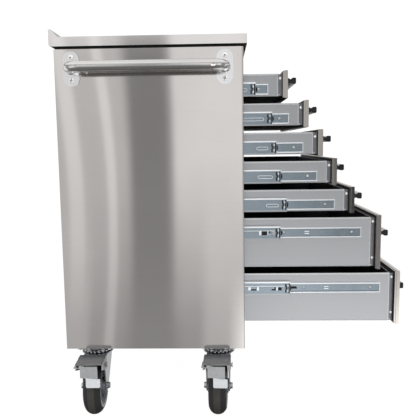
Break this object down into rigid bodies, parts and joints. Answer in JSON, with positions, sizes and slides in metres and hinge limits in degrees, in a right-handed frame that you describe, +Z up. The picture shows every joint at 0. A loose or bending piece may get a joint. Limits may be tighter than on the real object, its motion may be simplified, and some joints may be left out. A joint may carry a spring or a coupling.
{
  "type": "rolling tool chest",
  "caption": "Rolling stainless steel tool chest with a lipped worktop, full-extension drawers, a side push handle and braked swivel casters.",
  "frame": {"origin": "on the floor, under the centre of the chest's bounding box with its drawers open as stored", "axes": "+Z up, -Y towards the drawer fronts, -X towards the push handle"},
  "size_m": [0.6898, 0.931, 1.026],
  "materials": {
    "steel": "brushed",
    "bright_steel": "satin",
    "zinc": "zinc plated",
    "drawer_grey": "metallic grey",
    "frame_black": "satin black",
    "core_black": "black backed board",
    "pull_alu": "anodised",
    "caster_zinc": "bright zinc",
    "pedal_zinc": "zinc plated",
    "wheel": "rubber tread on a grey hub"
  },
  "bodies": {
    "cabinet": {"side_panel_left": "steel", "side_panel_right": "steel", "back_panel": "steel", "bottom_pan": "steel", "front_rails": "steel", "top_frame": "frame_black", "worktop": "steel", "worktop_core": "core_black", "slide_uprights": "zinc", "cabinet_slides": "zinc", "push_handle": "bright_steel", "handle_screws": "bright_steel", "caster_plates": "caster_zinc", "caster_balls": "caster_zinc", "caster_bolts": "zinc", "rigid_caster_forks": "caster_zinc"},
    "lock": {"lock_cylinder": "bright_steel"},
    "drawer_1": {"drawer_box_1": "drawer_grey", "drawer_front_1": "steel", "drawer_pull_1": "pull_alu", "drawer_rails_1": "zinc"},
    "slide_1": {"middle_slides_1": "zinc"},
    "drawer_2": {"drawer_box_2": "drawer_grey", "drawer_front_2": "steel", "drawer_pull_2": "pull_alu", "drawer_rails_2": "zinc"},
    "slide_2": {"middle_slides_2": "zinc"},
    "drawer_3": {"drawer_box_3": "drawer_grey", "drawer_front_3": "steel", "drawer_pull_3": "pull_alu", "drawer_rails_3": "zinc"},
    "slide_3": {"middle_slides_3": "zinc"},
    "drawer_4": {"drawer_box_4": "drawer_grey", "drawer_front_4": "steel", "drawer_pull_4": "pull_alu", "drawer_rails_4": "zinc"},
    "slide_4": {"middle_slides_4": "zinc"},
    "drawer_5": {"drawer_box_5": "drawer_grey", "drawer_front_5": "steel", "drawer_pull_5": "pull_alu", "drawer_rails_5": "zinc"},
    "slide_5": {"middle_slides_5": "zinc"},
    "drawer_6": {"drawer_box_6": "drawer_grey", "drawer_front_6": "steel", "drawer_pull_6": "pull_alu", "drawer_rails_6": "zinc"},
    "slide_6": {"middle_slides_6": "zinc"},
    "drawer_7": {"drawer_box_7": "drawer_grey", "drawer_front_7": "steel", "drawer_pull_7": "pull_alu", "drawer_rails_7": "zinc"},
    "slide_7": {"middle_slides_7": "zinc"},
    "swivel_rear": {"swivel_fork_rear": "caster_zinc"},
    "brake_rear": {"brake_pedal_rear": "pedal_zinc"},
    "wheel_rear_l": {"wheel_rear_left": "wheel"},
    "wheel_rear_r": {"wheel_rear_right": "wheel"},
    "swivel_front": {"swivel_fork_front": "caster_zinc"},
    "brake_front": {"brake_pedal_front": "pedal_zinc"},
    "wheel_front_l": {"wheel_front_left": "wheel"},
    "wheel_front_r": {"wheel_front_right": "wheel"}
  },
  "joints": [
    {"name": "lock_turn", "type": "hinge", "parent": "cabinet", "child": "lock", "pos_m": [0.26642, -0.0265, 0.95], "axis": [0, -1, 0], "range_deg": [0, 90]},
    {"name": "drawer_1_slide", "type": "slide", "parent": "cabinet", "child": "drawer_1", "axis": [0, -1, 0], "range_m": [-0.114, 0.306]},
    {"name": "middle_1_slide", "type": "slide", "parent": "cabinet", "child": "slide_1", "axis": [0, -1, 0], "range_m": [-0.0812, 0.2176]},
    {"name": "drawer_2_slide", "type": "slide", "parent": "cabinet", "child": "drawer_2", "axis": [0, -1, 0], "range_m": [-0.168, 0.252]},
    {"name": "middle_2_slide", "type": "slide", "parent": "cabinet", "child": "slide_2", "axis": [0, -1, 0], "range_m": [-0.1242, 0.1862]},
    {"name": "drawer_3_slide", "type": "slide", "parent": "cabinet", "child": "drawer_3", "axis": [0, -1, 0], "range_m": [-0.206, 0.214]},
    {"name": "middle_3_slide", "type": "slide", "parent": "cabinet", "child": "slide_3", "axis": [0, -1, 0], "range_m": [-0.1352, 0.1404]},
    {"name": "drawer_4_slide", "type": "slide", "parent": "cabinet", "child": "drawer_4", "axis": [0, -1, 0], "range_m": [-0.243, 0.177]},
    {"name": "middle_4_slide", "type": "slide", "parent": "cabinet", "child": "slide_4", "axis": [0, -1, 0], "range_m": [-0.1472, 0.1073]},
    {"name": "drawer_5_slide", "type": "slide", "parent": "cabinet", "child": "drawer_5", "axis": [0, -1, 0], "range_m": [-0.29, 0.13]},
    {"name": "middle_5_slide", "type": "slide", "parent": "cabinet", "child": "slide_5", "axis": [0, -1, 0], "range_m": [-0.1632, 0.0733]},
    {"name": "drawer_6_slide", "type": "slide", "parent": "cabinet", "child": "drawer_6", "axis": [0, -1, 0], "range_m": [-0.3615, 0.0585]},
    {"name": "middle_6_slide", "type": "slide", "parent": "cabinet", "child": "slide_6", "axis": [0, -1, 0], "range_m": [-0.1472, 0.024]},
    {"name": "drawer_7_slide", "type": "slide", "parent": "cabinet", "child": "drawer_7", "axis": [0, -1, 0], "range_m": [-0.415, 0.005]},
    {"name": "middle_7_slide", "type": "slide", "parent": "cabinet", "child": "slide_7", "axis": [0, -1, 0], "range_m": [-0.1732, 0.0023]},
    {"name": "swivel_rear_turn", "type": "hinge", "parent": "cabinet", "child": "swivel_rear", "pos_m": [-0.21358, 0.3865, 0.174], "axis": [0, 0, 1], "continuous": true},
    {"name": "wheel_rear_left_spin", "type": "hinge", "parent": "swivel_rear", "child": "wheel_rear_l", "pos_m": [-0.25855, 0.38493, 0.075], "axis": [-0.0349, 0.9994, 0], "continuous": true},
    {"name": "brake_rear_press", "type": "hinge", "parent": "swivel_rear", "child": "brake_rear", "pos_m": [-0.28953, 0.38385, 0.148], "axis": [0.0349, -0.9994, 0], "range_deg": [0, 9]},
    {"name": "wheel_rear_right_spin", "type": "hinge", "parent": "cabinet", "child": "wheel_rear_r", "pos_m": [0.25442, 0.3865, 0.075], "axis": [0, 1, 0], "continuous": true},
    {"name": "swivel_front_turn", "type": "hinge", "parent": "cabinet", "child": "swivel_front", "pos_m": [-0.21358, 0.0435, 0.174], "axis": [0, 0, 1], "continuous": true},
    {"name": "wheel_front_left_spin", "type": "hinge", "parent": "swivel_front", "child": "wheel_front_l", "pos_m": [-0.25852, 0.04586, 0.075], "axis": [0.0523, 0.9986, 0], "continuous": true},
    {"name": "brake_front_press", "type": "hinge", "parent": "swivel_front", "child": "brake_front", "pos_m": [-0.28948, 0.04748, 0.148], "axis": [-0.0523, -0.9986, 0], "range_deg": [0, 9]},
    {"name": "wheel_front_right_spin", "type": "hinge", "parent": "cabinet", "child": "wheel_front_r", "pos_m": [0.25442, 0.0435, 0.075], "axis": [0, 1, 0], "continuous": true}
  ],
  "couplings": [
    {"joint": "middle_1_slide", "follows": "drawer_1_slide", "ratio": 0.7105},
    {"joint": "middle_2_slide", "follows": "drawer_2_slide", "ratio": 0.7381},
    {"joint": "middle_3_slide", "follows": "drawer_3_slide", "ratio": 0.6553},
    {"joint": "middle_4_slide", "follows": "drawer_4_slide", "ratio": 0.6049},
    {"joint": "middle_5_slide", "follows": "drawer_5_slide", "ratio": 0.5621},
    {"joint": "middle_6_slide", "follows": "drawer_6_slide", "ratio": 0.4066},
    {"joint": "middle_7_slide", "follows": "drawer_7_slide", "ratio": 0.4169}
  ]
}
